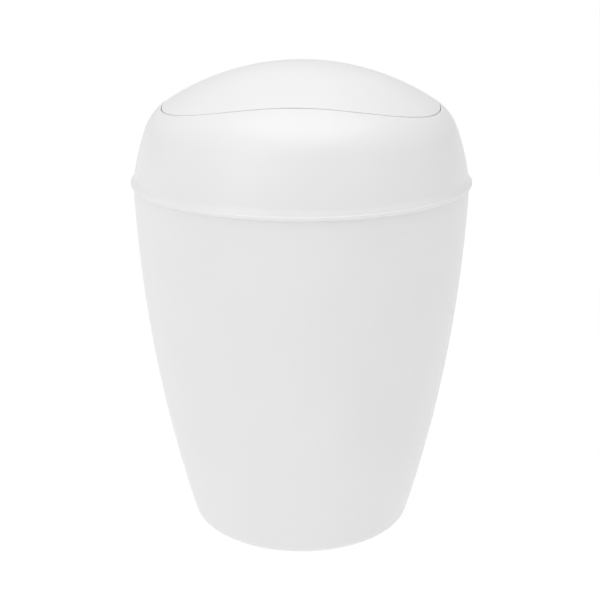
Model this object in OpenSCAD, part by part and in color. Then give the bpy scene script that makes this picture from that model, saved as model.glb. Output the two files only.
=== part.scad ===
// Swing-top waste bin: a round tapered bucket, a ring that grips the bag, a domed lid that
// lifts off, and a weighted oval flap that swings both ways on two pins in the lid.
// Millimetres, +Z up. The origin is the centre of the base on the floor, and +X is to the
// right. The flap turns about an axis along X.

/* [Bucket] */
// Outer radius of the bucket at its rim
rim_r = 125; // [105:1:150]
// Height of the rim above the floor
rim_z = 272; // [225:1:330]
// Radius that the curve of the wall would have at the floor
foot_r = 83.5; // [72:0.5:92]
// How far the curve leans in over its height before it starts to bend
rim_lean = 5.6; // [2:0.2:10]
// Wall and floor thickness
bucket_wall = 2.4; // [1.6:0.1:3.2]
// Radius of the rounded edge round the base
base_round = 9; // [6:0.5:14]
// Width of the ring that the base stands on
foot_ring_w = 20; // [18:0.5:24]
// Height of the hollow under the middle of the base
base_rise = 3; // [2:0.2:5]
// Ribs under the base
rib_count = 6; // [3:1:12]
// Thickness of a rib
rib_t = 1.4; // [1:0.1:2]

/* [Feet] */
// Number of foot pads
pad_count = 4; // [3:1:6]
// Radius of a foot pad
pad_r = 7; // [5:0.5:8]
// How far a pad stands out of the base
pad_proud = 1; // [0.6:0.1:2]
// How deep a pad is let into the base
pad_sunk = 1.2; // [0.6:0.1:1.4]

/* [Bag ring] */
// Thickness of the ring
ring_t = 1.6; // [1.2:0.1:2.4]
// How far the ring reaches down inside the bucket
ring_drop = 18; // [10:1:30]
// Gap that the bag is gripped in
bag_gap = 0.6; // [0.4:0.1:1.2]
// Width of a finger tab
tab_w = 26; // [18:1:40]
// How far a finger tab reaches inwards
tab_reach = 9; // [6:0.5:14]

/* [Lid] */
// Wall of the lid
lid_wall = 2.2; // [1.6:0.1:2.8]
// How far inside the bucket's rim the dome starts
dome_inset = 0.4; // [0:0.1:2]
// Lean of the dome from upright where it starts
dome_lean = 8.6; // [5:0.2:12]
// Radius of the dome's side
side_round = 185; // [160:1:210]
// Lean at the foot of the shoulder
shoulder_lean = 20.4; // [16:0.2:24]
// Radius of the shoulder
shoulder_round = 39; // [32:1:44]
// Lean where the shoulder meets the top
top_lean = 57.5; // [52:0.5:62]
// Gap between the lid's lip and the bucket
lip_gap = 0.4; // [0.3:0.05:0.8]
// Thickness of the lip
lip_t = 1.6; // [1.2:0.1:2.2]
// How far the lip hangs below the bucket's rim
lip_drop = 1.6; // [1.2:0.2:4]
// Height of the flare that joins the lip to the dome
flare_h = 1.6; // [1:0.2:4]

/* [Flap] */
// Distance from the bucket's rim in to the ends of the flap
flap_margin = 23.5; // [22:0.5:27]
// How much less the flap's half depth is than its half length
flap_trim = 17; // [13:0.5:24]
// Exponent of the flap's oval outline
oval_power = 2.5; // [2.2:0.1:2.8]
// Gap round the flap
flap_gap = 1.5; // [1.2:0.1:2]
// How far the flap lies below the surface of the lid
flap_sink = 0.3; // [0.1:0.1:0.6]
// Wall of the flap's cover
flap_wall = 2; // [1.6:0.1:2.4]
// Depth of the edge round the cover
edge_depth = 8; // [7.8:0.1:8.4]
// Thickness of that edge
edge_t = 2; // [1.6:0.1:2.4]
// Depth at which the liner lies
liner_depth = 6; // [5:0.2:6.2]
// Wall of the liner
liner_wall = 1.6; // [1.2:0.1:1.8]
// Gap between the liner and the edge of the cover
liner_gap = 0.3; // [0.2:0.05:0.5]

/* [Pivot] */
// How far the pivot lies below the ends of the flap
pivot_drop = 15; // [14.5:0.1:16]
// Radius of a pivot pin
pin_r = 3; // [2.5:0.1:3.4]
// Running clearance of a pin in its bush
pin_clear = 0.05; // [0.02:0.01:0.09]
// Wall of a bush
bush_wall = 1.95; // [1.5:0.05:2.2]
// Length of a bush inside its boss
bush_len = 6; // [4:0.5:6.5]
// Thickness of a bush's flange
bush_flange_t = 1.2; // [1:0.1:1.6]
// Wall of the boss that holds a bush
boss_wall = 3.4; // [2.5:0.1:3.6]
// Gap between the end of the flap and a bush
end_gap = 0.5; // [0.4:0.1:1]

/* [Weights] */
// Distance of a weight's centre below the pivot
weight_arm = 46; // [42:1:50]
// Radius of a weight
weight_r = 14.5; // [12:0.5:15]
// Thickness of a weight
weight_t = 13; // [10:0.5:15]
// Wall of the pocket round a weight
pocket_wall = 1.5; // [1.2:0.1:2]
// Distance from an end of the flap in to its arm
arm_inset = 13.5; // [12.5:0.5:16]
// Thickness of an arm
arm_t = 3; // [2.4:0.2:3.6]
// Half width of an arm at the pivot
arm_half_w = 8.5; // [7.5:0.5:10]

/* [Stops] */
// Radius of the arc on which the flap meets its stops
stop_arm = 43; // [42:0.5:45]
// How far the buffers lie below the pivot
buffer_drop = 5; // [4:0.5:8]
// Distance from an end of the flap in to the faces of the buffers
buffer_inset = 4.5; // [4:0.1:5]
// Radius of a buffer
buffer_r = 4; // [3:0.2:4]
// Radius of the stub that a buffer is pushed on to
stub_r = 2; // [1.6:0.1:2.4]
// Length of a buffer
buffer_len = 4.5; // [3.5:0.1:5]
// Half width of the fin that meets the buffers
fin_half_w = 3; // [2:0.2:4]

/* [Screws] */
// Radius of a screw's shank
screw_r = 1.5; // [1.2:0.1:1.8]
// Radius of a screw's head
screw_head_r = 3; // [2.5:0.1:3.4]
// Height of a screw's head
screw_head_h = 1.8; // [1.4:0.1:2.4]
// Distance of a screw from the middle of the flap along X
screw_x = 52; // [46:1:56]
// Distance of a screw from the middle of the flap along Y
screw_y = 38; // [32:1:42]

/* [Hidden] */

// Clearance of a part that is pushed into its seat
seat_clear = 0.05;
// How far a cutting solid runs past what it cuts
past = 1;
// Height of a solid that the dome's shape trims
tall = 60;
// Facets round most circles, round the bin itself, and round the small circles
$fn = 96;
bin_fn = 160;
pad_fn = 48;
buffer_fn = 40;
screw_fn = 32;

white = [0.93, 0.93, 0.93];
inner_white = [0.88, 0.88, 0.88];
rubber_grey = [0.55, 0.56, 0.57];
acetal = [0.96, 0.96, 0.92];
steel = [0.62, 0.63, 0.65];

// ---- Curves -------------------------------------------------------------------------

// Height up the bucket's wall as a share, 0 at the floor and 1 at the rim
function wall_share(z) = z / rim_z;
// Outer radius of the bucket at height z
function wall_r(z) = rim_r - rim_lean * (1 - wall_share(z))
    - (rim_r - foot_r - rim_lean) * pow(1 - wall_share(z), 2);
// Lean of that wall from upright at height z, in degrees
function wall_lean(z) =
    atan((rim_lean + 2 * (rim_r - foot_r - rim_lean) * (1 - wall_share(z))) / rim_z);
// Points on an arc of radius r round c, from angle a to angle b, in n steps
function arc(c, r, a, b, n) =
    [for (i = [0:n]) let (t = a + (b - a) * i / n) [c[0] + r * cos(t), c[1] + r * sin(t)]];
// A curve that runs from 0 to 1 and starts and ends level
function ease(t) = t * t * (3 - 2 * t);

// The lid sits on the bag ring's flange
seat_z = rim_z + ring_t;
// The dome is three arcs that run into each other: side, shoulder and top
dome_r = rim_r - dome_inset;
side_c = [dome_r - side_round * cos(dome_lean), seat_z - side_round * sin(dome_lean)];
shoulder_c = side_c
    + (side_round - shoulder_round) * [cos(shoulder_lean), sin(shoulder_lean)];
// The top's centre is on the axis, so its radius follows from the shoulder
top_round = shoulder_round + shoulder_c[0] / cos(top_lean);
top_c = [0, shoulder_c[1] - (top_round - shoulder_round) * sin(top_lean)];
// Points on the dome at a depth below its surface, from the seat to the axis
function dome_points(depth) = concat(
    arc(side_c, side_round - depth, dome_lean, shoulder_lean, 8),
    arc(shoulder_c, shoulder_round - depth, shoulder_lean + 2, top_lean, 14),
    arc(top_c, top_round - depth, top_lean + 2, 90, 16));
// Height of the dome's top at radius r, at a depth below its surface
function top_z(r, depth = 0) = top_c[1] + sqrt(pow(top_round - depth, 2) - r * r);

// Half length and half depth of the flap, and of the opening that it fills
flap_a = rim_r - flap_margin;
flap_b = flap_a - flap_trim;
open_a = flap_a + flap_gap;
open_b = flap_b + flap_gap;
// Outline of an oval with half axes a and b
function oval(a, b, n = 120) = [for (i = [0:n - 1])
    let (c = cos(360 * i / n), s = sin(360 * i / n))
    [a * sign(c) * pow(abs(c), 2 / oval_power), b * sign(s) * pow(abs(s), 2 / oval_power)]];

// Heights and distances that follow from the curves
pivot_z = top_z(flap_a) - pivot_drop;
bush_r = pin_r + pin_clear + bush_wall;
boss_r = bush_r + boss_wall;
bush_x = flap_a + end_gap;
boss_x = bush_x + bush_flange_t;
arm_x = flap_a - arm_inset;
weight_z = pivot_z - weight_arm;
pocket_r = weight_r + pocket_wall;
// Reach of a cap's plug into its pocket, and thickness of the cap's flange
cap_plug = 2;
cap_flange = 1.2;
pocket_x = arm_x - weight_t - cap_plug;
buffer_x = flap_a - buffer_inset;
buffer_z = pivot_z - buffer_drop;
liner_top = flap_sink + liner_depth;
liner_under = liner_top + liner_wall;
liner_a = flap_a - edge_t - liner_gap;
liner_b = flap_b - edge_t - liner_gap;

// ---- Shapes -------------------------------------------------------------------------

// A solid of the dome's shape at a depth below its surface, down to height z0
module dome_solid(depth, z0) {
    side = dome_points(depth);
    rotate_extrude() polygon(concat([[0, z0], [side[0][0], z0]], side));
}

module oval_prism(a, b, z0, z1) {
    translate([0, 0, z0]) linear_extrude(z1 - z0) polygon(oval(a, b));
}

// A cylinder along +X from x0 to x1, centred at y and z
module rod_x(r, x0, x1, y = 0, z = 0) {
    translate([x0, y, z]) rotate([0, 90, 0]) cylinder(r = r, h = x1 - x0);
}

// A plate of thickness t from x0, drawn in Y and Z
module plate_x(points, x0, t) {
    translate([x0, 0, 0]) rotate([90, 0, 90]) linear_extrude(t) polygon(points);
}

// The piece on the right, or its mirror image on the left
module on_side(right) {
    if (right) children();
    else mirror([1, 0, 0]) children();
}

// ---- Bucket -------------------------------------------------------------------------

base_z = pad_proud;
round_lean = wall_lean(base_z + base_round);
round_top = base_z + base_round * (1 - sin(round_lean));
round_c = [wall_r(round_top) - base_round * cos(round_lean), base_z + base_round];
foot_ring_r = round_c[0] - foot_ring_w;
// Radius at which the step from the foot ring up to the hollow ends
hollow_r = foot_ring_r - 1.5;
wall_steps = 28;
// Lean by which the rounded edge stops short of the wall, so the two join in one facet
round_stop = 4;
// Chamfer of the rim
rim_soft = 0.6;
// The ribs meet a round hub, and stand clear of the plane of the foot ring
rib_hub_r = 9;
rib_clear = 0.4;
// How far a rib runs into the hub and into the foot ring
rib_join = 1;

function wall_points(depth) = [for (i = [0:wall_steps])
    let (z = round_top + (rim_z - rim_soft - round_top) * i / wall_steps, a = wall_lean(z))
    [wall_r(z) - depth * cos(a), min(z + depth * sin(a), rim_z - rim_soft)]];
function reversed(p) = [for (i = [len(p) - 1:-1:0]) p[i]];

module bucket_section() {
    outside = concat([[0, base_z + base_rise], [hollow_r, base_z + base_rise],
        [foot_ring_r, base_z]],
        arc(round_c, base_round, -90, -round_lean - round_stop, 10), wall_points(0));
    rim = [[rim_r - rim_soft, rim_z], [rim_r - bucket_wall + rim_soft, rim_z]];
    inside = concat(
        arc(round_c, base_round - bucket_wall, -90, -round_lean - round_stop, 8),
        wall_points(bucket_wall));
    floor_top = base_z + bucket_wall;
    polygon(concat(outside, rim, reversed(inside),
        [[foot_ring_r, floor_top], [hollow_r, floor_top + base_rise],
         [0, floor_top + base_rise]]));
}

pad_ring_r = foot_ring_r + foot_ring_w / 2;

module pad_place(i) {
    rotate([0, 0, 45 + 360 * i / pad_count]) translate([pad_ring_r, 0, 0]) children();
}

module bucket() {
    color(white) {
        difference() {
            rotate_extrude($fn = bin_fn) bucket_section();
            for (i = [0:pad_count - 1])
                pad_place(i) translate([0, 0, base_z - past])
                    cylinder(r = pad_r + seat_clear, h = past + pad_sunk, $fn = pad_fn);
        }
        for (i = [0:rib_count - 1]) rotate([0, 0, 360 * i / rib_count])
            translate([rib_hub_r - rib_join, -rib_t / 2, base_z + rib_clear])
                cube([foot_ring_r - rib_hub_r, rib_t, base_rise]);
        translate([0, 0, base_z + rib_clear]) difference() {
            cylinder(r = rib_hub_r, h = base_rise, $fn = pad_fn);
            translate([0, 0, -past])
                cylinder(r = rib_hub_r - rib_t, h = base_rise - rib_clear + past, $fn = pad_fn);
        }
    }
}

module foot_pad(i) {
    color(rubber_grey) pad_place(i) cylinder(r = pad_r, h = pad_proud + pad_sunk, $fn = pad_fn);
}

// ---- Bag ring -----------------------------------------------------------------------

// Width and height of the lead at the foot of the ring
ring_lead_w = 0.5;
ring_lead_h = 2;
// How far the flange stops short of the outside of the rim
flange_inset = 0.4;

module bag_ring() {
    outer = wall_r(rim_z - ring_drop) - bucket_wall / cos(wall_lean(rim_z)) - bag_gap;
    inner = outer - ring_t;
    flange_r = rim_r - flange_inset;
    low = rim_z - ring_drop;
    color(inner_white) {
        rotate_extrude($fn = bin_fn)
            polygon([[inner, low], [outer - ring_lead_w, low], [outer, low + ring_lead_h],
                [outer, rim_z], [flange_r, rim_z], [flange_r, seat_z], [inner, seat_z]]);
        for (a = [90, 270]) rotate([0, 0, a]) intersection() {
            translate([inner - tab_reach, -tab_w / 2, rim_z])
                cube([tab_reach + ring_t, tab_w, ring_t]);
            difference() {
                translate([0, 0, rim_z - past])
                    cylinder(r = outer - ring_t / 2, h = ring_t + 2 * past);
                translate([0, 0, rim_z - 2 * past])
                    cylinder(r = inner - tab_reach, h = ring_t + 4 * past);
            }
        }
    }
}

// ---- Lid ----------------------------------------------------------------------------

lip_in = rim_r + lip_gap;
lip_out = lip_in + lip_t;
lip_z = rim_z - lip_drop;
// Radius of the dome's side at height z, at a depth below its surface
function side_r(z, depth = 0) =
    side_c[0] + sqrt(pow(side_round - depth, 2) - pow(z - side_c[1], 2));
// Height at which the flare has run into the dome
flare_top = seat_z + flare_h;
// Least distance between the end of one curve and the next curve's first point
curve_gap = 0.5;
// The gusset over each boss
gusset_t = 3;
gusset_rise = 8;
gusset_set = 0.6;
// Wall of the collar that a buffer stops against
collar_wall = 1.6;
// How far above the bosses the cut for the opening starts
open_clear = 0.5;

module lid_section() {
    lip = arc([lip_in + lip_t / 2, lip_z + lip_t / 2], lip_t / 2, 180, 360, 8);
    steps = 6;
    flare = [for (i = [0:steps]) let (z = seat_z + flare_h * i / steps)
        [side_r(z) + (lip_out - side_r(z)) * ease(1 - i / steps), z]];
    outside = [for (p = dome_points(0)) if (p[1] > flare_top + curve_gap) p];
    inside = [for (p = dome_points(lid_wall)) if (p[1] > seat_z + curve_gap) p];
    polygon(concat(lip, flare, outside, reversed(inside),
        [[side_r(seat_z, lid_wall), seat_z], [lip_in, seat_z]]));
}

// What stands on the inside of the lid on the right: a boss for the bush and two stubs
module lid_inside() {
    intersection() {
        union() {
            rod_x(boss_r, boss_x, rim_r, 0, pivot_z);
            translate([boss_x + gusset_set, -gusset_t / 2, pivot_z])
                cube([rim_r, gusset_t, boss_r + gusset_rise]);
            for (y = [-stop_arm, stop_arm]) {
                rod_x(stub_r, buffer_x, rim_r, y, buffer_z, $fn = screw_fn);
                rod_x(stub_r + collar_wall, buffer_x + buffer_len, rim_r, y, buffer_z,
                    $fn = screw_fn);
            }
        }
        dome_solid(lid_wall / 2, seat_z);
    }
}

module lid_shell() {
    color(white) difference() {
        union() {
            rotate_extrude($fn = bin_fn) lid_section();
            for (right = [true, false]) on_side(right) lid_inside();
        }
        oval_prism(open_a, open_b, pivot_z + boss_r + open_clear, top_z(0) + past);
        for (right = [true, false]) on_side(right)
            rod_x(bush_r + seat_clear, boss_x - past, boss_x + bush_len, 0, pivot_z);
    }
}

// How far a bush's flange stands out round its sleeve
bush_flange_w = 2;

module bearing_bush(right) {
    color(acetal) on_side(right) difference() {
        union() {
            rod_x(bush_r + bush_flange_w, bush_x, boss_x, 0, pivot_z);
            rod_x(bush_r, bush_x, boss_x + bush_len, 0, pivot_z);
        }
        rod_x(pin_r + pin_clear, bush_x - past, boss_x + bush_len + past, 0, pivot_z);
    }
}

// A buffer on its stub: front is the side towards -Y
module stop_buffer(right, front) {
    y = front ? -stop_arm : stop_arm;
    color(rubber_grey) on_side(right) difference() {
        rod_x(buffer_r, buffer_x, buffer_x + buffer_len, y, buffer_z, $fn = buffer_fn);
        rod_x(stub_r + seat_clear, buffer_x - past, buffer_x + buffer_len + past, y, buffer_z,
            $fn = buffer_fn);
    }
}

// ---- Flap ---------------------------------------------------------------------------

module screw_places() {
    for (x = [-screw_x, screw_x], y = [-screw_y, screw_y]) translate([x, y, 0]) children();
}

// Distance from the liner down to the seat of a screw's head, and the depth of its hole
screw_seat = 3.4;
screw_len = 7.5;
// Gap at the tip of a screw or a pin
tip_gap = 0.5;
// Walls of the cover's posts and of the liner's seats
post_wall = 1.8;
seat_wall = 1.6;
// Clearance of a screw in the liner
screw_clear = 0.2;
// Length, width and depth of the slots in a screw's head
slot_len = 3.6;
slot_w = 0.6;
slot_deep = 1;
// The height at which a screw's head meets the liner
screw_z = top_z(sqrt(screw_x * screw_x + screw_y * screw_y), liner_under) - screw_seat;

module flap_cover() {
    inner_a = flap_a - edge_t;
    inner_b = flap_b - edge_t;
    low = pivot_z;
    high = top_z(0) + past;
    color(white) difference() {
        union() {
            difference() {
                intersection() {
                    dome_solid(flap_sink, low);
                    oval_prism(flap_a, flap_b, low, high);
                }
                intersection() {
                    dome_solid(flap_sink + flap_wall, low - past);
                    oval_prism(inner_a, inner_b, low - past, high);
                }
                dome_solid(flap_sink + edge_depth, low - past);
            }
            difference() {
                intersection() {
                    screw_places() translate([0, 0, low])
                        cylinder(r = screw_r + post_wall, h = tall, $fn = screw_fn);
                    dome_solid(flap_sink + flap_wall / 2, low);
                }
                dome_solid(liner_top, low - past);
            }
        }
        screw_places() translate([0, 0, screw_z - past])
            cylinder(r = screw_r + seat_clear, h = screw_len + past, $fn = screw_fn);
    }
}

// Half width of an arm where it meets the liner, and how far above the pivot that is
arm_half_top = 14;
arm_shoulder = 9;
// Wall of the hub round a pin
hub_wall = 3.5;
// Half height of a fin, and how far it reaches past the face of a buffer
fin_half_h = 4;
fin_overlap = 2.5;

// The arm under the right end of the flap: plate, hub, weight pocket and stop fin
module flap_arm() {
    top = pivot_z + tall;
    shoulder = pivot_z + arm_shoulder;
    difference() {
        union() {
            intersection() {
                plate_x([[-arm_half_top, top], [-arm_half_top, shoulder], [-arm_half_w, pivot_z],
                    [-arm_half_w, weight_z], [arm_half_w, weight_z], [arm_half_w, pivot_z],
                    [arm_half_top, shoulder], [arm_half_top, top]], arm_x, arm_t);
                dome_solid(liner_top + liner_wall / 2, weight_z - pocket_r);
            }
            rod_x(pin_r + hub_wall, arm_x, liner_a, 0, pivot_z);
            rod_x(pocket_r, pocket_x, arm_x + arm_t, 0, weight_z);
            translate([arm_x, -fin_half_w, pivot_z - stop_arm - fin_half_h])
                cube([buffer_x + fin_overlap - arm_x, 2 * fin_half_w, 2 * fin_half_h]);
        }
        rod_x(pin_r + seat_clear, arm_x - past, liner_a + past, 0, pivot_z);
        rod_x(weight_r + seat_clear, pocket_x - past, arm_x, 0, weight_z);
    }
}

module flap_liner() {
    low = pivot_z;
    high = top_z(0) + past;
    color(inner_white) difference() {
        union() {
            difference() {
                intersection() {
                    dome_solid(liner_top, low);
                    oval_prism(liner_a, liner_b, low, high);
                }
                dome_solid(liner_under, low - past);
            }
            intersection() {
                screw_places() translate([0, 0, screw_z])
                    cylinder(r = screw_head_r + seat_wall, h = tall, $fn = screw_fn);
                dome_solid(liner_top + liner_wall / 2, low);
            }
            for (right = [true, false]) on_side(right) flap_arm();
        }
        screw_places() translate([0, 0, screw_z - past])
            cylinder(r = screw_r + screw_clear, h = tall, $fn = screw_fn);
    }
}

module flap_screws() {
    color(steel) screw_places() {
        translate([0, 0, screw_z])
            cylinder(r = screw_r, h = screw_len - tip_gap, $fn = screw_fn);
        translate([0, 0, screw_z - screw_head_h]) difference() {
            cylinder(r = screw_head_r, h = screw_head_h, $fn = screw_fn);
            for (a = [0, 90]) rotate([0, 0, a]) translate([-slot_len / 2, -slot_w / 2, -past])
                cube([slot_len, slot_w, past + slot_deep]);
        }
    }
}

// Thickness of a pin's head, and how far it stands out round the shank
pin_head_t = 2;
pin_head_w = 2;

module pivot_pin(right) {
    color(steel) on_side(right) {
        rod_x(pin_r + pin_head_w, arm_x - pin_head_t, arm_x, 0, pivot_z);
        rod_x(pin_r, arm_x - pin_head_t, boss_x + bush_len - tip_gap, 0, pivot_z);
    }
}

module counterweight(right) {
    color(steel) on_side(right) rod_x(weight_r, pocket_x + cap_plug, arm_x, 0, weight_z);
}

module weight_cap(right) {
    color(inner_white) on_side(right) {
        rod_x(pocket_r, pocket_x - cap_flange, pocket_x, 0, weight_z);
        rod_x(weight_r - seat_clear, pocket_x - cap_flange, pocket_x + cap_plug, 0, weight_z);
    }
}

// ---- Nodes --------------------------------------------------------------------------

bucket();
foot_pad(0);  // foot_pad_1
foot_pad(1);  // foot_pad_2
foot_pad(2);  // foot_pad_3
foot_pad(3);  // foot_pad_4
bag_ring();
lid_shell();
bearing_bush(true);  // bearing_bush_right
bearing_bush(false);  // bearing_bush_left
stop_buffer(true, true);  // stop_buffer_front_right
stop_buffer(true, false);  // stop_buffer_rear_right
stop_buffer(false, true);  // stop_buffer_front_left
stop_buffer(false, false);  // stop_buffer_rear_left
flap_cover();
flap_liner();
flap_screws();
pivot_pin(true);  // pivot_pin_right
pivot_pin(false);  // pivot_pin_left
counterweight(true);  // counterweight_right
counterweight(false);  // counterweight_left
weight_cap(true);  // weight_cap_right
weight_cap(false);  // weight_cap_left
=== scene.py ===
"""The looks of a swing-top waste bin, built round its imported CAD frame.

Metres, +Z up, the front towards -Y. Every size is measured on the frame's own meshes, and the
few that the frame doesn't hold, such as the rounding of an edge, are named below.
"""
import math

import bmesh
import bpy
import numpy as np
from mathutils import Matrix, Vector


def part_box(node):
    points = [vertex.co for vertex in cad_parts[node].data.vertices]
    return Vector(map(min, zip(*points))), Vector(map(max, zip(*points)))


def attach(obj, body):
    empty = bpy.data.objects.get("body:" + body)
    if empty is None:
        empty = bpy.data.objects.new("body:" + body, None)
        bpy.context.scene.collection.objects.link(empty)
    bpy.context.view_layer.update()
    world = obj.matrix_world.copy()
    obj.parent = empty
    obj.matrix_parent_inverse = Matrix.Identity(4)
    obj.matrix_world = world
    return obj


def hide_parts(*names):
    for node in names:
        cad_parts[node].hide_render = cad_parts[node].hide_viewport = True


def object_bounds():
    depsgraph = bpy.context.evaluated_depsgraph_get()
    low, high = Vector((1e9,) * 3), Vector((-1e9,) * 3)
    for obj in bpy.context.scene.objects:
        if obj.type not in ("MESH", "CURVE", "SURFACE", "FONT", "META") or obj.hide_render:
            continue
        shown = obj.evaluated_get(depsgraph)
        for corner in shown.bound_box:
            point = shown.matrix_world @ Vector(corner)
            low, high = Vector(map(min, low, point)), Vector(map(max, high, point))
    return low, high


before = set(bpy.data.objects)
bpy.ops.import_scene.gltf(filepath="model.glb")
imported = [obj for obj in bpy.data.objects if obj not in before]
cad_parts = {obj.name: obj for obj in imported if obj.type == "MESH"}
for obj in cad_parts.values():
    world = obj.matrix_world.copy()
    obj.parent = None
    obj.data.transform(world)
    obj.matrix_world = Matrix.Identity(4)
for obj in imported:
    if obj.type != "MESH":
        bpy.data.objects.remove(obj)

CAD_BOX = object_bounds()

MM = 0.001
ROUND_STEPS = 256          # faces round the bin
SMALL_ROUND_STEPS = 64     # faces round a pin, a boss or a pad
EDGE = 0.5 * MM            # rounding of a moulded edge
FRONT_SEAM = 0.9 * MM      # the seam at the front of the flap, as fine as its swing allows
END_SEAM = 0.45 * MM       # the seam at the ends of the flap, where it only turns
BASE_RIBS = 6              # ribs under the bucket's base
SHARP_ANGLE = math.radians(38)


# ---- Measuring the frame ---------------------------------------------------------------

def points_of(node):
    """The vertices of a CAD node as rows of x, y, z."""
    return np.array([v.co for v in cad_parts[node].data.vertices])


def section_points(node):
    """The radius from the Z axis and the height of each vertex of a CAD node."""
    co = points_of(node)
    return np.hypot(co[:, 0], co[:, 1]), co[:, 2]


def outer_chain(node, low, high):
    """The outside of a node's section between two heights, as (radius, height) from low to high.

    The outside bulges, so it is the chain of the section's convex hull.
    """
    radius, height = section_points(node)
    keep = (height >= low - 1e-6) & (height <= high + 1e-6)
    chain = []
    for z, r in sorted(set(zip(height[keep].round(6), radius[keep].round(6)))):
        while len(chain) > 1:
            (z0, r0), (z1, r1) = chain[-2:]
            if (z1 - z0) * (r - r0) - (r1 - r0) * (z - z0) < 0:
                break
            chain.pop()
        chain.append((z, r))
    if chain[0][1] < chain[1][1] - 1 * MM and chain[1][0] < chain[0][0] + 3 * MM:
        chain = chain[1:]      # the lowest vertex was one on the inside
    least_step = 0.3 * MM
    spaced = chain[:1]
    for point in chain[1:]:
        if math.dist(point, spaced[-1]) > least_step:
            spaced.append(point)
    return np.array([(r, z) for z, r in spaced])


def distances_from_pivot(node):
    """The distinct distances of a node's vertices from the flap's pivot line, smallest first."""
    co = points_of(node)
    away = np.hypot(co[:, 1], co[:, 2] - PIVOT_Z)
    found = []
    for d in np.sort(away):
        if not found or d - found[-1] > 0.2 * MM:
            found.append(float(d))
    return found


# ---- Curves in a section ---------------------------------------------------------------

def smooth_through(points, count):
    """count points spread evenly along a natural cubic spline through the given points."""
    along = np.concatenate([[0], np.cumsum(np.hypot(*np.diff(points, axis=0).T))])
    gaps = np.diff(along)
    n = len(along)
    matrix = np.eye(n)
    for i in range(1, n - 1):
        matrix[i, i - 1:i + 2] = gaps[i - 1], 2 * (gaps[i - 1] + gaps[i]), gaps[i]
    wanted = np.linspace(0, along[-1], count)
    piece = np.clip(np.searchsorted(along, wanted) - 1, 0, n - 2)
    t, h = wanted - along[piece], gaps[piece]
    columns = []
    for values in points.T:
        right = np.zeros(n)
        right[1:-1] = 6 * (np.diff(values)[1:] / gaps[1:] - np.diff(values)[:-1] / gaps[:-1])
        bend = np.linalg.solve(matrix, right)
        b0, b1 = bend[piece], bend[piece + 1]
        v0, v1 = values[piece], values[piece + 1]
        slope = (v1 - v0) / h - h * (2 * b0 + b1) / 6
        columns.append(v0 + slope * t + b0 * t ** 2 / 2 + (b1 - b0) * t ** 3 / (6 * h))
    return np.array(columns).T


def offset(curve, depth):
    """A curve's points moved inwards by depth, where the outside is on its right going up."""
    along = np.gradient(curve, axis=0)
    along /= np.linalg.norm(along, axis=1)[:, None]
    inward = np.column_stack([-along[:, 1], along[:, 0]])
    return curve + inward * depth


def part_of(curve, key, start, end, count):
    """count points of a curve between two values of its radius (key 0) or height (key 1)."""
    values = curve[:, key]
    order = np.argsort(values)
    place = np.interp([start, end], values[order], order.astype(float))
    wanted = np.linspace(*place, count)
    steps = np.arange(len(curve))
    return np.column_stack([np.interp(wanted, steps, curve[:, k]) for k in (0, 1)])


def rounded(corners, steps=5):
    """An outline whose corners (x, y, rounding) are arcs where rounding isn't 0.

    A closed outline, with the same number of points whatever its sizes.
    """
    points = []
    count = len(corners)
    for i, (x, y, r) in enumerate(corners):
        here = np.array([x, y])
        if not r:
            points.append(here)
            continue
        before = np.array(corners[i - 1][:2]) - here
        after = np.array(corners[(i + 1) % count][:2]) - here
        reach = min(np.linalg.norm(before), np.linalg.norm(after)) * 0.49
        before, after = before / np.linalg.norm(before), after / np.linalg.norm(after)
        half = math.acos(np.clip(before @ after, -1, 1)) / 2
        if half > math.radians(89):
            points += [here] * (steps + 1)
            continue
        r = min(r, reach * math.tan(half))
        centre = here + (before + after) / np.linalg.norm(before + after) * r / math.sin(half)
        first = here + before * r / math.tan(half) - centre
        last = here + after * r / math.tan(half) - centre
        turn = math.atan2(first[0] * last[1] - first[1] * last[0], first @ last)
        for k in range(steps + 1):
            a = turn * k / steps
            c, s = math.cos(a), math.sin(a)
            points.append(centre + [c * first[0] - s * first[1], s * first[0] + c * first[1]])
    return np.array(points)


def plain(points):
    """Points of a curve as corners that aren't rounded."""
    return [(r, z, 0) for r, z in points]


def ease(t):
    """A smooth step from 0 to 1."""
    return t * t * (3 - 2 * t)


# ---- Meshes ----------------------------------------------------------------------------

def new_piece(name, mesh):
    """A smooth-shaded object from a bmesh, with its creases marked sharp."""
    bmesh.ops.remove_doubles(mesh, verts=mesh.verts, dist=1e-7)
    bmesh.ops.dissolve_degenerate(mesh, edges=mesh.edges, dist=1e-8)
    bmesh.ops.recalc_face_normals(mesh, faces=mesh.faces)
    data = bpy.data.meshes.new(name)
    mesh.to_mesh(data)
    mesh.free()
    data.shade_smooth()
    data.set_sharp_from_angle(angle=SHARP_ANGLE)
    piece = bpy.data.objects.new(name, data)
    bpy.context.scene.collection.objects.link(piece)
    return piece


def turned(name, section_at, steps=ROUND_STEPS, place=None):
    """A piece turned round the Z axis. section_at(angle) gives its closed section's points.

    A section that starts and ends on the axis closes there. place moves the finished piece.
    """
    mesh = bmesh.new()
    rings = []
    for i in range(steps):
        angle = 2 * math.pi * i / steps
        c, s = math.cos(angle), math.sin(angle)
        rings.append([mesh.verts.new((r * c, r * s, z)) for r, z in section_at(angle)])
    count = len(rings[0])
    for i in range(steps):
        here, there = rings[i], rings[(i + 1) % steps]
        for k in range(count):
            m = (k + 1) % count
            if m or here[0].co.xy.length > 1e-6:
                mesh.faces.new((here[k], there[k], there[m], here[m]))
    if place is not None:
        mesh.transform(place)
    return new_piece(name, mesh)


def on_side(side, place):
    """A place on the right of the bin, or its mirror image on the left where side is -1."""
    return Matrix.Scale(side, 4, (1, 0, 0)) @ place


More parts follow.
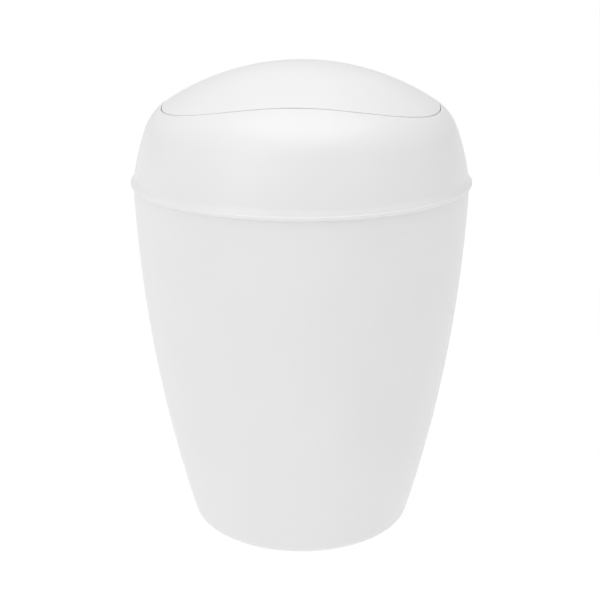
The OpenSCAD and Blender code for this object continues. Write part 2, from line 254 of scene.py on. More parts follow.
def along_x(side, y, z):
    """Turns the Z axis of a turned piece to point out along X, at that y and z."""
    turn = Matrix.Rotation(math.pi / 2, 4, "Y")
    return on_side(side, Matrix.Translation((0, y, z)) @ turn)


def facing_x(side, x):
    """Stands a slab up, so that its outline is drawn in Y and Z and it is thick along X."""
    return on_side(side, Matrix(((0, 0, 1, x), (1, 0, 0, 0), (0, 1, 0, 0), (0, 0, 0, 1))))


def facing_y(side, y):
    """Stands a slab up, so that its outline is drawn in X and Z and it is thick along Y."""
    return on_side(side, Matrix(((1, 0, 0, 0), (0, 0, -1, y), (0, 1, 0, 0), (0, 0, 0, 1))))


def slab(name, outline, thickness, place, bevel):
    """A plate of that outline with rounded edges, drawn in its own X and Y."""
    mesh = bmesh.new()
    low = [mesh.verts.new((x, y, 0)) for x, y in outline]
    high = [mesh.verts.new((x, y, thickness)) for x, y in outline]
    caps = [mesh.faces.new(low[::-1]), mesh.faces.new(high)]
    for i in range(len(low)):
        k = (i + 1) % len(low)
        mesh.faces.new((low[i], low[k], high[k], high[i]))
    edges = {e for f in caps for e in f.edges}
    bmesh.ops.bevel(mesh, geom=list(edges), offset=bevel, segments=3, profile=0.5,
                    affect="EDGES", clamp_overlap=True)
    mesh.transform(place)
    return new_piece(name, mesh)


def joined(piece, others):
    """Adds other closed shapes to a piece, where they run into it."""
    mesh = bmesh.new()
    mesh.from_mesh(piece.data)
    for other in others:
        mesh.from_mesh(other.data)
        bpy.data.objects.remove(other)
    mesh.to_mesh(piece.data)
    mesh.free()
    return piece


# ---- Sizes from the frame --------------------------------------------------------------

BUCKET_LOW, BUCKET_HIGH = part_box("bucket")
RING_LOW, RING_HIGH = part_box("bag_ring")
LID_LOW, LID_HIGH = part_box("lid_shell")
COVER_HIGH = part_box("flap_cover")[1]
LINER_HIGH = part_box("flap_liner")[1]
PIN_LOW, PIN_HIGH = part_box("pivot_pin_right")
BUSH_LOW, BUSH_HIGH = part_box("bearing_bush_right")
WEIGHT_LOW, WEIGHT_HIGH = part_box("counterweight_right")
CAP_LOW, CAP_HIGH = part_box("weight_cap_right")
BUFFER_LOW, BUFFER_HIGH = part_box("stop_buffer_rear_right")

PIVOT_Z = (PIN_LOW.z + PIN_HIGH.z) / 2
RIM_Z = BUCKET_HIGH.z
RIM_R = BUCKET_HIGH.x
BASE_Z = BUCKET_LOW.z
SEAT_Z = RING_HIGH.z


def depth_below(node, curve, low, high, reach=1e9):
    """How far under a curve the nearest vertices of a node lie that aren't on the curve."""
    radius, height = section_points(node)
    keep = (height > low) & (height < high) & (radius < reach)
    points = np.column_stack([radius, height])[keep]
    away = np.sqrt(((points[:, None] - curve[None]) ** 2).sum(2)).min(1)
    return float(away[away > 0.8 * MM].min())


def radii_at(node, z):
    """The radii of a node's vertices at one height."""
    radius, height = section_points(node)
    return radius[abs(height - z) < 0.02 * MM]


def reach_along_x(node, away_low, away_high, y=0.0, z=None):
    """The least and most |x| of the vertices at those distances from a line along X."""
    co = points_of(node)
    away = np.hypot(co[:, 1] - y, co[:, 2] - (PIVOT_Z if z is None else z))
    x = abs(co[(away > away_low) & (away < away_high)][:, 0])
    return float(x.min()), float(x.max())


PIN_SHANK, PIN_HEAD = distances_from_pivot("pivot_pin_right")[-2:]
BUSH_BORE, BUSH_SLEEVE, BUSH_FLANGE = distances_from_pivot("bearing_bush_right")[:3]
# Where the arm of the liner starts, which is where the pin's head ends
ARM_X = reach_along_x("pivot_pin_right", PIN_SHANK + 0.5 * MM, 1)[1]
BOSS_X = reach_along_x("bearing_bush_right", BUSH_SLEEVE + 0.5 * MM, 1)[1]
WEIGHT_Z = (WEIGHT_LOW.z + WEIGHT_HIGH.z) / 2
WEIGHT_R = (WEIGHT_HIGH.z - WEIGHT_LOW.z) / 2
POCKET_R = (CAP_HIGH.z - CAP_LOW.z) / 2
POCKET_X, ARM_END = reach_along_x(
    "flap_liner", POCKET_R - 0.1 * MM, POCKET_R + 0.1 * MM, 0, WEIGHT_Z)
HUB_END = reach_along_x("flap_liner", 0, PIN_SHANK + 0.2 * MM)[1]


# ---- Bucket ----------------------------------------------------------------------------

def make_bucket():
    """The bucket's wall, floor and rim, with the ribs and the gate mark under its base."""
    chain = outer_chain("bucket", BASE_Z, RIM_Z - 0.5 * MM)
    flat_in, flat_out = radii_at("bucket", BASE_Z).min(), radii_at("bucket", BASE_Z).max()
    round_top = chain[chain[:, 1] > BASE_Z + 5 * MM][0][1]
    curve = smooth_through(chain, 500)
    wall = depth_below("bucket", curve, RIM_Z * 0.3, RIM_Z * 0.7)
    inner = offset(curve, wall)
    radius, height = section_points("bucket")
    middle = height[(radius > flat_in - 2 * MM) & (radius < flat_in - 1 * MM)]
    hollow, floor = middle.min(), middle.max()
    rim = 1.1 * MM              # rounding of the rim's two edges
    wall_top = RIM_Z - 1.6 * rim
    outside = part_of(curve, 1, round_top, wall_top, 110)
    inside = part_of(inner, 1, wall_top, round_top, 110)
    base_round = smooth_through(chain[chain[:, 1] <= round_top + 1e-6], 14)
    fillet, fillet_in = base_round[1:-1], offset(base_round, wall)[1:-1]
    step = 1.5 * MM             # width of the slope from the base's flat ring in to its hollow
    gate = 3.5 * MM             # radius of the dish round the gate mark
    dish = hollow + 0.4 * MM
    stub = hollow - 0.1 * MM
    outline = rounded(
        [(0, stub, 0), (1.1 * MM, stub, 0.1 * MM),
         (1.3 * MM, dish, 0.1 * MM), (gate, dish, 0.2 * MM), (gate + 0.4 * MM, hollow, 0.2 * MM),
         (flat_in - step, hollow, EDGE), (flat_in, BASE_Z, EDGE), (flat_out, BASE_Z, 0)]
        + plain(fillet) + plain(outside)
        + [(RIM_R, RIM_Z, rim), (RIM_R - wall, RIM_Z, rim)]
        + plain(inside) + plain(fillet_in[::-1])
        + [(flat_out, BASE_Z + wall, 0), (flat_in, BASE_Z + wall, EDGE),
           (flat_in - step, floor, EDGE), (0, floor, 0)])
    shell = turned("bucket_shell", lambda angle: outline)
    rib_z = BASE_Z + 0.4 * MM
    rib_h = hollow - rib_z + 0.3 * MM
    hub_r, rib_t = 9 * MM, 1.4 * MM
    hub = turned("hub", lambda angle: rounded(
        [(hub_r - rib_t, rib_z, 0.3 * MM), (hub_r, rib_z, 0.3 * MM),
         (hub_r, rib_z + rib_h, 0), (hub_r - rib_t, rib_z + rib_h, 0)], 3), SMALL_ROUND_STEPS)
    start, end = hub_r - 0.5 * rib_t, flat_in - 0.6 * MM
    corners = [(start, 0), (end, 0), (end, rib_h), (start, rib_h)]
    stand = Matrix.Translation((0, rib_t / 2, rib_z)) @ Matrix.Rotation(math.pi / 2, 4, "X")
    ribs = []
    for i in range(BASE_RIBS):
        turn = Matrix.Rotation(2 * math.pi / BASE_RIBS * i, 4, "Z")
        ribs.append(slab(f"rib{i}", corners, rib_t, turn @ stand, 0.25 * MM))
    return joined(shell, [hub] + ribs)


def make_pads():
    """Rubber pads, each a disc with a ring groove in its face."""
    for i in range(1, 5):
        low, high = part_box(f"foot_pad_{i}")
        r, h, e = (high.x - low.x) / 2, high.z - low.z, 0.35 * MM
        outline = rounded(
            [(0, 0, 0), (r * 0.45, 0, e / 2), (r * 0.5, 0.3 * MM, e / 2), (r * 0.6, 0.3 * MM, e / 2),
             (r * 0.65, 0, e / 2), (r, 0, e), (r, h, e / 2), (0, h, 0)], 3)
        place = Matrix.Translation(((low.x + high.x) / 2, (low.y + high.y) / 2, low.z))
        pad = turned(f"rubber_foot_{i}", lambda angle: outline, SMALL_ROUND_STEPS, place)
        dress(pad, "bucket", "rubber", RUBBER, f"foot_pad_{i}")


# ---- Bag ring --------------------------------------------------------------------------

def make_bag_ring():
    """The ring that hangs on the rim: a skirt, a flange and two finger tabs, front and rear."""
    co = points_of("bag_ring")
    radius, height = section_points("bag_ring")
    skirt_out = radius[height < RIM_Z - 1 * MM].max()
    skirt_in = radii_at("bag_ring", RING_LOW.z).min()
    reach = skirt_in - radius.min()
    half_tab = abs(co[radius < skirt_in - 1 * MM][:, 0]).max() / skirt_in
    bead = 0.5 * MM
    corner = 4 * MM / skirt_in

    def section(angle):
        away = abs(math.remainder(angle - math.pi / 2, math.pi))
        tab = ease(min(max((half_tab - away) / corner, 0), 1)) ** 0.5
        tip = skirt_in - bead - (reach - bead) * tab
        return rounded(
            [(skirt_in, RING_LOW.z, EDGE), (skirt_out - EDGE, RING_LOW.z, EDGE),
             (skirt_out, RING_LOW.z + 2 * MM, EDGE), (skirt_out, RIM_Z, 0.3 * MM),
             (RING_HIGH.x, RIM_Z, EDGE), (RING_HIGH.x, SEAT_Z, EDGE), (tip, SEAT_Z, EDGE),
             (tip, RIM_Z, EDGE), (skirt_in, RIM_Z - 0.01 * MM, 0.4 * MM)], 4)

    return turned("bag_retaining_ring", section, 2 * ROUND_STEPS)


# ---- Lid -------------------------------------------------------------------------------

def oval_sizes():
    """Half length, half depth and exponent of the flap's oval outline."""
    a, b = COVER_HIGH.x, COVER_HIGH.y
    co = points_of("flap_cover")
    corner = np.minimum(abs(co[:, 0]) / a, abs(co[:, 1]) / b).max()
    return a, b, -math.log(2) / math.log(corner)


FLAP_A, FLAP_B, OVAL_POWER = oval_sizes()


def oval_radius(angle, grow=0.0):
    """Distance from the axis to the flap's outline in that direction, with the oval grown."""
    x, y = abs(math.cos(angle)) / (FLAP_A + grow), abs(math.sin(angle)) / (FLAP_B + grow)
    return (x ** OVAL_POWER + y ** OVAL_POWER) ** (-1 / OVAL_POWER)


def lid_curves():
    """The dome's outside and inside, from just over its lip up to the edge of its opening."""
    chain = outer_chain("lid_shell", SEAT_Z + 1.5 * MM, LID_HIGH.z)
    outside = smooth_through(chain, 600)
    wall = depth_below("lid_shell", outside, SEAT_Z + 8 * MM, PIVOT_Z - 14 * MM)
    return outside, offset(outside, wall), wall


DOME, DOME_IN, LID_WALL = lid_curves()
LIP_OUT = LID_HIGH.x
SEAT_RADII = radii_at("lid_shell", SEAT_Z)
LIP_IN = SEAT_RADII[SEAT_RADII < LIP_OUT - 0.5 * MM].max()


def dome_foot(curve):
    """A dome curve carried down in a straight line to the seat."""
    slope = (curve[8] - curve[0]) / (curve[8, 1] - curve[0, 1])
    return curve[0] + slope * (SEAT_Z - curve[0, 1])


def make_lid():
    """The domed shell with its lip and its oval opening."""
    foot_in = dome_foot(DOME_IN)
    # The bead round the lip, a little slimmer than the frame's, and the wall just over it
    bead_low, bead_high = LID_LOW.z - 0.3 * MM, LID_LOW.z + 2.1 * MM
    bead_round = 0.9 * MM
    neck = LIP_OUT - bead_round
    shoulder = DOME[0, 0] + 0.1 * MM

    def section(angle):
        seam = END_SEAM + (FRONT_SEAM - END_SEAM) * math.sin(angle) ** 2
        r = oval_radius(angle, seam)
        outside = part_of(DOME, 0, DOME[0, 0], r + 1.8 * MM, 60)
        inside = part_of(DOME_IN, 0, r + 1.2 * MM, DOME_IN[0, 0], 60)
        top = part_of(DOME, 0, r, r, 1)[0]
        under = part_of(DOME_IN, 0, r, r, 1)[0]
        return rounded(
            [(LIP_IN - 0.4 * MM, SEAT_Z, 0), (LIP_IN, SEAT_Z - 0.7 * MM, 0.2 * MM),
             (LIP_IN, bead_low, 0.4 * MM), (LIP_OUT - 0.7 * MM, bead_low, 0.6 * MM),
             (LIP_OUT, bead_low + bead_round, bead_round), (LIP_OUT, bead_high, 1.0 * MM),
             (neck, bead_high + 0.5 * MM, 0.6 * MM), (shoulder, SEAT_Z + 2.6 * MM, 2 * MM)]
            + plain(outside[2:])
            + [(top[0], top[1], EDGE), (under[0], under[1], EDGE)]
            + plain(inside) + [(foot_in[0], SEAT_Z, 0.2 * MM)])

    return turned("lid_dome", section, 2 * ROUND_STEPS)


def wall_x(y, z):
    """How far along X the middle of the lid's wall is, at that y and z."""
    middle = (DOME + DOME_IN) / 2
    r = np.interp(z, middle[:, 1], middle[:, 0])
    return math.sqrt(r * r - y * y)


def boss(name, side, y, z, outline, last_r, flare):
    """A round boss on the lid's inside that runs into the wall with a fillet.

    outline is its section from its axis out, as (radius, x, rounding), up to the wall.
    """
    def section(angle):
        # The Z axis of the turned section points along X, so its own x is down and its y is y
        down, across = math.cos(angle), math.sin(angle)
        points = list(outline)
        end = wall_x(y + across * (last_r + flare), z - down * (last_r + flare))
        points.append((last_r, end - LID_WALL / 2 - flare, flare * 0.9))
        points.append((last_r + flare, end - LID_WALL / 2 + 0.2 * MM, 0))
        points.append((last_r + flare * 0.5, end, 0))
        points.append((0, wall_x(y, z), 0))
        return rounded(points, 4)

    return turned(name, section, SMALL_ROUND_STEPS, along_x(side, y, z))


def gusset(side, boss_r):
    """The plate that ties a pivot boss to the dome over it."""
    co = points_of("lid_shell")
    clear_of_wall, most_half = 8 * MM, 2.5 * MM      # a search that finds only the gusset
    above = co[:, 2] > PIVOT_Z + boss_r + 1 * MM
    inside = (co[:, 0] > BOSS_X) & (co[:, 0] < LIP_IN - clear_of_wall)
    plate = co[above & inside & (abs(co[:, 1]) < most_half)]
    half, inner = abs(plate[:, 1]).max(), plate[:, 0].min()
    middle = (DOME + DOME_IN) / 2
    arch = middle[(middle[:, 1] > PIVOT_Z) & (middle[:, 0] > inner)][::12]
    outline = [(inner, PIVOT_Z), (wall_x(0, PIVOT_Z), PIVOT_Z)] + [tuple(p) for p in arch[1:]]
    return slab("gusset", outline, 2 * half, facing_y(side, half), 0.25 * MM)


def make_lid_bosses(side):
    """On one side of the lid: the boss for the bush, and a stub for each buffer."""
    boss_wall, boss_flare, stub_flare = 3.4 * MM, 1.6 * MM, 1.2 * MM
    boss_r = BUSH_SLEEVE + boss_wall
    made = [boss("pivot_boss", side, 0, PIVOT_Z,
                 [(0, BUSH_HIGH.x, 0), (BUSH_SLEEVE, BUSH_HIGH.x, 0),
                  (BUSH_SLEEVE, BOSS_X, 0.3 * MM), (boss_r, BOSS_X, EDGE)], boss_r, boss_flare),
            gusset(side, boss_r)]
    buffer_y = (BUFFER_LOW.y + BUFFER_HIGH.y) / 2
    buffer_z = (BUFFER_LOW.z + BUFFER_HIGH.z) / 2
    stub_r, collar_r = 2 * MM, 3.6 * MM
    for y in (-buffer_y, buffer_y):
        made.append(boss("stub", side, y, buffer_z,
                         [(0, BUFFER_LOW.x, 0), (stub_r, BUFFER_LOW.x, 0.3 * MM),
                          (stub_r, BUFFER_HIGH.x, 0), (collar_r, BUFFER_HIGH.x, 0.3 * MM)],
                         collar_r, stub_flare))
    return made


# ---- Bushes, pins, buffers and weights -------------------------------------------------

def on_pivot(name, side, outline, y=0.0, z=None):
    """A piece turned round the pivot line, or a line beside it, from (radius, x) corners."""
    shape = rounded(outline, 3)
    place = along_x(side, y, PIVOT_Z if z is None else z)
    return turned(name, lambda angle: shape, SMALL_ROUND_STEPS, place)


def make_bush(side, word):
    """A flanged bush in a boss of the lid."""
    x0, x2 = BUSH_LOW.x, BUSH_HIGH.x
    bush = on_pivot(f"acetal_bush_{word}", side, [
        (BUSH_BORE, x0, 0.25 * MM), (BUSH_FLANGE, x0, 0.3 * MM),
        (BUSH_FLANGE, BOSS_X, 0.15 * MM), (BUSH_SLEEVE, BOSS_X, 0.1 * MM),
        (BUSH_SLEEVE, x2, 0.4 * MM), (BUSH_BORE, x2, 0.25 * MM)])
    dress(bush, "lid", "bush_plastic", ACETAL, f"bearing_bush_{word}")


def make_pin(side, word):
    """A turned pin: a domed head, a plain shank and a chamfered tip."""
    shank, head = PIN_SHANK, PIN_HEAD
    x0, x1, x2 = PIN_LOW.x, ARM_X, PIN_HIGH.x
    pin = on_pivot(f"turned_pin_{word}", side, [
        (0, x0, 0), (head * 0.3, x0, 0.3 * MM), (head * 0.36, x0 + 0.3 * MM, 0.1 * MM),
        (head * 0.5, x0, 0.1 * MM), (head, x0, 0.6 * MM), (head, x1, 0.1 * MM),
        (shank, x1, 0), (shank, x2 - 0.6 * MM, 0.1 * MM), (shank - 0.6 * MM, x2, 0.1 * MM),
        (0, x2, 0)])
    dress(pin, "flap", "steel", STEEL, f"pivot_pin_{word}")


def make_buffers(side, word):
    """The two rubber buffers on one side, each a thick sleeve on its stub."""
    bore = 2.05 * MM            # just over the stub's radius
    r = (BUFFER_HIGH.z - BUFFER_LOW.z) / 2
    y = (BUFFER_LOW.y + BUFFER_HIGH.y) / 2
    z = (BUFFER_LOW.z + BUFFER_HIGH.z) / 2
    x0, x1 = BUFFER_LOW.x, BUFFER_HIGH.x
    for end, where in ((-1, "front"), (1, "rear")):
        buffer = on_pivot(f"rubber_stop_{where}_{word}", side, [
            (bore, x0, 0.2 * MM), (r, x0, 0.8 * MM), (r, x1, 0.4 * MM), (bore, x1, 0.2 * MM)],
            y * end, z)
        dress(buffer, "lid", "rubber", RUBBER, f"stop_buffer_{where}_{word}")


def make_cap(side, word):
    """The cap on a weight's pocket, with a rim and a shallow dish in its face."""
    x0, x1, x2 = CAP_LOW.x, POCKET_X, CAP_HIGH.x
    r, plug = POCKET_R, WEIGHT_R - 0.05 * MM
    cap = on_pivot(f"pocket_cap_{word}", side, [
        (0, x0 + 0.5 * MM, 0), (r * 0.62, x0 + 0.5 * MM, 0.4 * MM), (r * 0.68, x0, 0.3 * MM),
        (r, x0, 0.5 * MM), (r, x1, 0.1 * MM), (plug, x1, 0.1 * MM), (plug, x2, 0.4 * MM),
        (0, x2, 0)], 0, WEIGHT_Z)
    dress(cap, "flap", "inner_shell", INNER, f"weight_cap_{word}")


# ---- Flap ------------------------------------------------------------------------------

def cap_curve(node):
    """The top of a flap piece from its rim up to the axis, and the part past the axis."""
    radius, height = section_points(node)
    rim = height[radius > radius.max() - 0.05 * MM].max()
    chain = outer_chain(node, rim, 1)
    chain = chain[chain[:, 0] > 2 * MM]
    mirrored = chain[::-1] * [-1, 1]
    return smooth_through(np.vstack([chain, mirrored]), 1200)


def by_radius(curve):
    """A curve's points in order of their radius, for height_on."""
    return curve[np.argsort(curve[:, 0])]


def height_on(curve, r):
    """The height at a radius of a curve whose points are in order of their radius."""
    return np.interp(r, curve[:, 0], curve[:, 1])


def dome_patch(name, top, under, steps, grow, edge, rim=None, rim_width=None):
    """An oval patch of the dome between two curves, with a rim that turns down if asked.

    grow is how much larger than the flap's own outline the patch is, and rim is the curve
    that the rim reaches down to.
    """
    def section(angle):
        end = oval_radius(angle, grow)
        # Width measured along the radius, where the oval's edge runs at a slant to it
        nearby = oval_radius(angle + 0.001, grow) - oval_radius(angle - 0.001, grow)
        slant = math.hypot(1, nearby / 0.002 / end)
        round_r = 3 * edge
        rows = 46
        ups = np.linspace(0, end - round_r, rows)
        ups = [(r, z, 0) for r, z in zip(ups, height_on(top, ups))]
        corners = ups + [(end, height_on(top, end), edge)]
        if rim is not None:
            width = rim_width * slant
            low = height_on(rim, end)
            inner = height_on(rim, end - width)
            corners += [(end, low, 0.5 * MM), (end - width, inner, 0.5 * MM),
                        (end - width, height_on(under, end - width), 1.0 * MM)]
            downs = np.linspace(end - width - 3 * MM, 0, rows)
        else:
            corners += [(end, height_on(under, end), edge)]
            downs = np.linspace(end - round_r, 0, rows)
        corners += [(r, z, 0) for r, z in zip(downs, height_on(under, downs))]
        return rounded(corners, 5)

    return turned(name, section, steps)


def make_flap():
    """The cover that is seen, and the liner under it with its arms."""
    top = cap_curve("flap_cover")
    half = top[:len(top) // 2]
    crown = 50 * MM             # the middle of the flap, clear of its posts and seats
    cover_z, liner_z = PIVOT_Z + 30 * MM, PIVOT_Z + 26 * MM
    wall = depth_below("flap_cover", half, cover_z, 1, crown)
    liner_top = cap_curve("flap_liner")
    liner_half = liner_top[:len(liner_top) // 2]
    liner_wall = depth_below("flap_liner", liner_half, liner_z, 1, crown)
    points = np.column_stack(section_points("flap_cover"))
    rim = points[points[:, 1] < PIVOT_Z + 6 * MM]      # the rim's low ends
    rim_depth = float(np.sqrt(((rim[:, None] - half[None]) ** 2).sum(2)).min(1).max())
    cover = dome_patch("flap_dome", by_radius(top), by_radius(offset(top, wall)),
                       2 * ROUND_STEPS, 0.0, EDGE, by_radius(offset(top, rim_depth)), 2 * MM)
    dress(cover, "flap", "outer_shell", SHELL, "flap_cover")
    grow = LINER_HIGH.y - FLAP_B
    under = by_radius(offset(liner_top, liner_wall))
    plate = dome_patch("flap_underside", by_radius(liner_top), under, ROUND_STEPS, grow, 0.4 * MM)
    parts = make_screw_seats(under)
    for side in (1, -1):
        parts += make_arm(side, under)
    liner = joined(plate, parts)
    dress(liner, "flap", "inner_shell", INNER, "flap_liner")


def make_screw_seats(under):
    """A short tube round each screw, from its head up into the liner."""
    co = points_of("flap_screws")
    recess, bite = 1 * MM, 0.6 * MM      # the hole's depth, and the run up into the liner
    seat_wall, bore_share = 1.6 * MM, 0.57
    seats = []
    for sx, sy in ((-1, -1), (-1, 1), (1, -1), (1, 1)):
        mine = co[(np.sign(co[:, 0]) == sx) & (np.sign(co[:, 1]) == sy)]
        x, y = (mine[:, :2].min(0) + mine[:, :2].max(0)) / 2
        head_r = (mine[:, 0].max() - mine[:, 0].min()) / 2
        on_head = np.hypot(mine[:, 0] - x, mine[:, 1] - y) > head_r * 0.9
        seat_z = mine[on_head][:, 2].max()
        outer, bore = head_r + seat_wall, head_r * bore_share
        middle_top = height_on(under, math.hypot(x, y)) + bite

        def section(angle):
            r = math.hypot(x + math.cos(angle) * outer, y + math.sin(angle) * outer)
            return rounded([(0, seat_z + recess, 0), (bore, seat_z + recess, 0),
                            (bore, seat_z, 0.15 * MM), (outer, seat_z, EDGE),
                            (outer, height_on(under, r) + bite, 0), (0, middle_top, 0)], 3)

        seats.append(turned("seat", section, 48, Matrix.Translation((x, y, 0))))
    return seats


def make_arm(side, under):
    """An arm of the liner: its plate, the hub round the pin, the weight's pocket, the fin."""
    x0, x1 = ARM_X, ARM_END
    co = points_of("flap_liner")
    arm = co[abs(co[:, 0] - x1) < 0.01 * MM]
    at_pivot = arm[abs(arm[:, 2] - PIVOT_Z) < 0.01 * MM]
    half_w = abs(at_pivot[:, 1]).max()
    shoulder = abs(arm[:, 1]).max()
    shoulder_z = arm[abs(arm[:, 1]) > shoulder - 0.01 * MM][:, 2].min()
    top_z = height_on(under, math.hypot(x1, shoulder)) + 0.3 * MM
    outline = rounded([
        (-half_w, WEIGHT_Z, 0), (half_w, WEIGHT_Z, 0), (half_w, PIVOT_Z, 6 * MM),
        (shoulder, shoulder_z, 5 * MM), (shoulder, top_z, 0), (-shoulder, top_z, 0),
        (-shoulder, shoulder_z, 5 * MM), (-half_w, PIVOT_Z, 6 * MM)], 6)
    plate = slab("plate", outline, x1 - x0, facing_x(side, x0), 0.5 * MM)
    shank = PIN_SHANK + 0.05 * MM
    hub_wall = 3.5 * MM
    hub_r = PIN_SHANK + hub_wall
    hub = on_pivot("hub", side, [
        (shank, x0 - 0.02 * MM, 0), (hub_r, x0 - 0.02 * MM, 0), (hub_r, HUB_END, EDGE),
        (shank, HUB_END, 0.3 * MM)])
    bore = WEIGHT_R + 0.05 * MM      # an easy fit round the weight
    pocket = on_pivot("pocket", side, [
        (0, x0, 0), (bore, x0, 0), (bore, POCKET_X, 0.3 * MM), (POCKET_R, POCKET_X, 0.5 * MM),
        (POCKET_R, x1, 1.0 * MM), (0, x1, 0)], 0, WEIGHT_Z)
    far = co[abs(co[:, 0]) > x1 + 2 * MM]
    fin_points = far[far[:, 2] < PIVOT_Z - 20 * MM]
    fin_low, fin_high = fin_points[:, 2].min(), fin_points[:, 2].max()
    fin_half = abs(fin_points[:, 1]).max()
    fin_end = abs(fin_points[:, 0]).max()
    corner = 1.2 * MM
    fin_outline = rounded([
        (-fin_half, fin_low, corner), (fin_half, fin_low, corner),
        (fin_half, fin_high, corner), (-fin_half, fin_high, corner)], 4)
    fin_start = x0 + 0.5 * MM
    fin = slab("fin", fin_outline, fin_end - fin_start, facing_x(side, fin_start), 0.6 * MM)
    return [plate, hub, pocket, fin]


# ---- Materials -------------------------------------------------------------------------

def new_material(name):
    """A node material with one Principled shader; gives the material, its nodes and a linker."""
    material = bpy.data.materials.new(name)
    material.use_nodes = True
    nodes = material.node_tree.nodes
    shader = nodes["Principled BSDF"]
    return material, nodes, shader, material.node_tree.links.new


def noise(nodes, link, scale, detail=2.0, stretch=(1, 1, 1)):
    """Noise in the object's own metres; scale is how many features there are in a metre."""
    place = nodes.new("ShaderNodeTexCoord")
    shape = nodes.new("ShaderNodeMapping")
    shape.inputs["Scale"].default_value = stretch
    link(place.outputs["Object"], shape.inputs["Vector"])
    texture = nodes.new("ShaderNodeTexNoise")
    texture.inputs["Scale"].default_value = scale
    texture.inputs["Detail"].default_value = detail
    link(shape.outputs["Vector"], texture.inputs["Vector"])
    return texture.outputs["Fac"]


def spread(nodes, link, value, low, high):
    """Maps noise, which stays near its middle, on to a range."""
    change = nodes.new("ShaderNodeMapRange")
    change.inputs["From Min"].default_value = 0.3
    change.inputs["From Max"].default_value = 0.7
    change.inputs["To Min"].default_value = low
    change.inputs["To Max"].default_value = high
    link(value, change.inputs["Value"])
    return change.outputs["Result"]


def tinted(nodes, link, value, dark, light):
    """A colour between two by a value."""
    mix = nodes.new("ShaderNodeMix")
    mix.data_type = "RGBA"
    link(value, mix.inputs["Factor"])
    mix.inputs["A"].default_value = (*dark, 1)
    mix.inputs["B"].default_value = (*light, 1)
    return mix.outputs["Result"]


def bumped(nodes, link, shader, value, distance):
    """Gives a shader a relief that deep."""
    bump = nodes.new("ShaderNodeBump")
    bump.inputs["Distance"].default_value = distance
    bump.inputs["Strength"].default_value = 1.0
    link(value, bump.inputs["Height"])
    link(bump.outputs["Normal"], shader.inputs["Normal"])


def polypropylene(name, dark, light, roughness, grain, grain_depth):
    """White moulded plastic: a spark-eroded grain, faint flow streaks and uneven gloss."""
    material, nodes, shader, link = new_material(name)
    blotches = spread(nodes, link, noise(nodes, link, 14, 3), 0, 1)
    link(tinted(nodes, link, blotches, dark, light), shader.inputs["Base Color"])
    streaks = noise(nodes, link, 60, 2, (1, 1, 0.12))
    link(spread(nodes, link, streaks, roughness - 0.025, roughness + 0.025),
         shader.inputs["Roughness"])
    bumped(nodes, link, shader, noise(nodes, link, grain, 3), grain_depth)
    shader.inputs["IOR"].default_value = 1.49
    shader.inputs["Subsurface Weight"].default_value = 0.12
    shader.inputs["Subsurface Radius"].default_value = (1.0, 1.0, 0.95)
    shader.inputs["Subsurface Scale"].default_value = 2.5 * MM
    return material


def rubber(name):
    """Grey rubber, matt and a little dusty."""
    material, nodes, shader, link = new_material(name)
    dust = spread(nodes, link, noise(nodes, link, 420, 4), 0, 1)
    link(tinted(nodes, link, dust, (0.17, 0.175, 0.18), (0.23, 0.235, 0.24)),
         shader.inputs["Base Color"])
    link(spread(nodes, link, noise(nodes, link, 900, 2), 0.74, 0.9), shader.inputs["Roughness"])
    bumped(nodes, link, shader, noise(nodes, link, 2600, 3), 0.03 * MM)
    shader.inputs["Sheen Weight"].default_value = 0.2
    return material


def acetal(name):
    """Off-white acetal, smooth and slightly translucent."""
    material, nodes, shader, link = new_material(name)
    cloud = spread(nodes, link, noise(nodes, link, 300, 2), 0, 1)
    link(tinted(nodes, link, cloud, (0.80, 0.80, 0.74), (0.86, 0.86, 0.81)),
         shader.inputs["Base Color"])
    link(spread(nodes, link, noise(nodes, link, 700, 2), 0.2, 0.3), shader.inputs["Roughness"])
    shader.inputs["Subsurface Weight"].default_value = 0.25
    shader.inputs["Subsurface Scale"].default_value = 1.5 * MM
    return material


def turned_steel(name):
    """Zinc-plated steel, with the fine rings that a lathe leaves round the X axis."""
    material, nodes, shader, link = new_material(name)
    rings = noise(nodes, link, 40, 2, (90, 1, 1))
    link(tinted(nodes, link, spread(nodes, link, rings, 0, 1), (0.50, 0.51, 0.53),
                (0.62, 0.63, 0.65)), shader.inputs["Base Color"])
    link(spread(nodes, link, noise(nodes, link, 500, 3), 0.24, 0.38), shader.inputs["Roughness"])
    bumped(nodes, link, shader, rings, 0.008 * MM)
    shader.inputs["Metallic"].default_value = 1.0
    return material


SHELL = polypropylene(
    "white_shell", (0.83, 0.83, 0.83), (0.85, 0.85, 0.85), 0.36, 1500, 0.006 * MM)
INNER = polypropylene(
    "white_inner", (0.78, 0.78, 0.78), (0.81, 0.81, 0.81), 0.5, 1100, 0.012 * MM)
RUBBER = rubber("grey_rubber")
ACETAL = acetal("natural_acetal")
STEEL = turned_steel("turned_steel")


def dress(piece, body, slot, material, *nodes):
    """Gives a piece its material and its body, and hides the CAD nodes that it stands for; slot is
    not used.
    """
    piece.data.materials.clear()
    piece.data.materials.append(material)
    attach(piece, body)
    if nodes:
        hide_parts(*nodes)


def keep_node(node, material):
    """Shows a CAD node as it is, with a better material."""
    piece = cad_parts[node]
    piece.data.materials.clear()
    piece.data.materials.append(material)


# ---- The object ------------------------------------------------------------------------

dress(make_bucket(), "bucket", "outer_shell", SHELL, "bucket")
make_pads()
dress(make_bag_ring(), "bag_ring", "inner_shell", INNER, "bag_ring")
lid_dome = joined(make_lid(), make_lid_bosses(1) + make_lid_bosses(-1))
dress(lid_dome, "lid", "outer_shell", SHELL, "lid_shell")
for hand, hand_word in ((1, "right"), (-1, "left")):
    make_bush(hand, hand_word)
    make_buffers(hand, hand_word)
    make_pin(hand, hand_word)
    make_cap(hand, hand_word)
    keep_node(f"counterweight_{hand_word}", STEEL)
make_flap()
keep_node("flap_screws", STEEL)


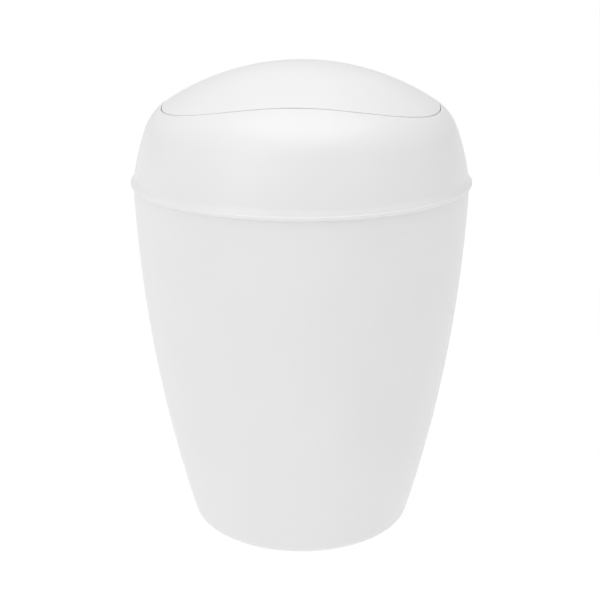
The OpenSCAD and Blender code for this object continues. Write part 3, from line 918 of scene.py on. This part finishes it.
# ---- Stage -----------------------------------------------------------------------------

def make_floor():
    """A plain pale floor that glows a little, as a light table does."""
    mesh = bmesh.new()
    bmesh.ops.create_circle(mesh, cap_ends=True, segments=128, radius=30)
    floor = new_piece("floor", mesh)
    material, nodes, shader, link = new_material("pale_floor")
    cloth = spread(nodes, link, noise(nodes, link, 3, 2), 0, 1)
    link(tinted(nodes, link, cloth, (0.10, 0.10, 0.10), (0.12, 0.12, 0.12)),
         shader.inputs["Base Color"])
    shader.inputs["Roughness"].default_value = 0.9
    shader.inputs["Emission Color"].default_value = (1, 1, 1, 1)
    shader.inputs["Emission Strength"].default_value = 0.9
    floor.data.materials.append(material)


def make_light(name, place, target, size, power):
    """A square soft box."""
    data = bpy.data.lights.new(name, "AREA")
    data.shape = "SQUARE"
    data.size = size
    data.energy = power
    light = bpy.data.objects.new(name, data)
    light.location = place
    light.rotation_euler = (Vector(target) - Vector(place)).to_track_quat("-Z", "Y").to_euler()
    bpy.context.scene.collection.objects.link(light)


def make_camera():
    """The camera in front of the bin, a little to its right, looking down at its middle."""
    distance, height, aim_z = 0.9, 0.4668, 0.17145
    azimuth = math.radians(2.5)
    data = bpy.data.cameras.new("camera")
    data.sensor_width = 36
    data.lens = 73.28
    data.shift_x, data.shift_y = -0.0023, 0.0083
    camera = bpy.data.objects.new("camera", data)
    camera.location = (distance * math.sin(azimuth), -distance * math.cos(azimuth), height)
    aim = Vector((0, 0, aim_z)) - camera.location
    camera.rotation_euler = aim.to_track_quat("-Z", "Y").to_euler()
    bpy.context.scene.collection.objects.link(camera)
    bpy.context.scene.camera = camera


def make_world():
    """An even white sky."""
    world = bpy.data.worlds.new("studio")
    world.use_nodes = True
    sky = world.node_tree.nodes["Background"]
    sky.inputs["Color"].default_value = (1, 1, 1, 1)
    sky.inputs["Strength"].default_value = 0.58
    bpy.context.scene.world = world


make_floor()
make_world()
middle = CAD_BOX[1].z * 0.55
make_light("overhead", (0, -0.2, 1.8), (0, 0, middle), 1.5, 12)
make_light("key", (-1.2, -1.5, 1.2), (0, 0, middle), 1.2, 5.4)
make_light("rear", (0, 1.4, 1.3), (0, 0, middle), 1.0, 0.5)
make_camera()
bpy.context.scene.view_settings.view_transform = "Standard"
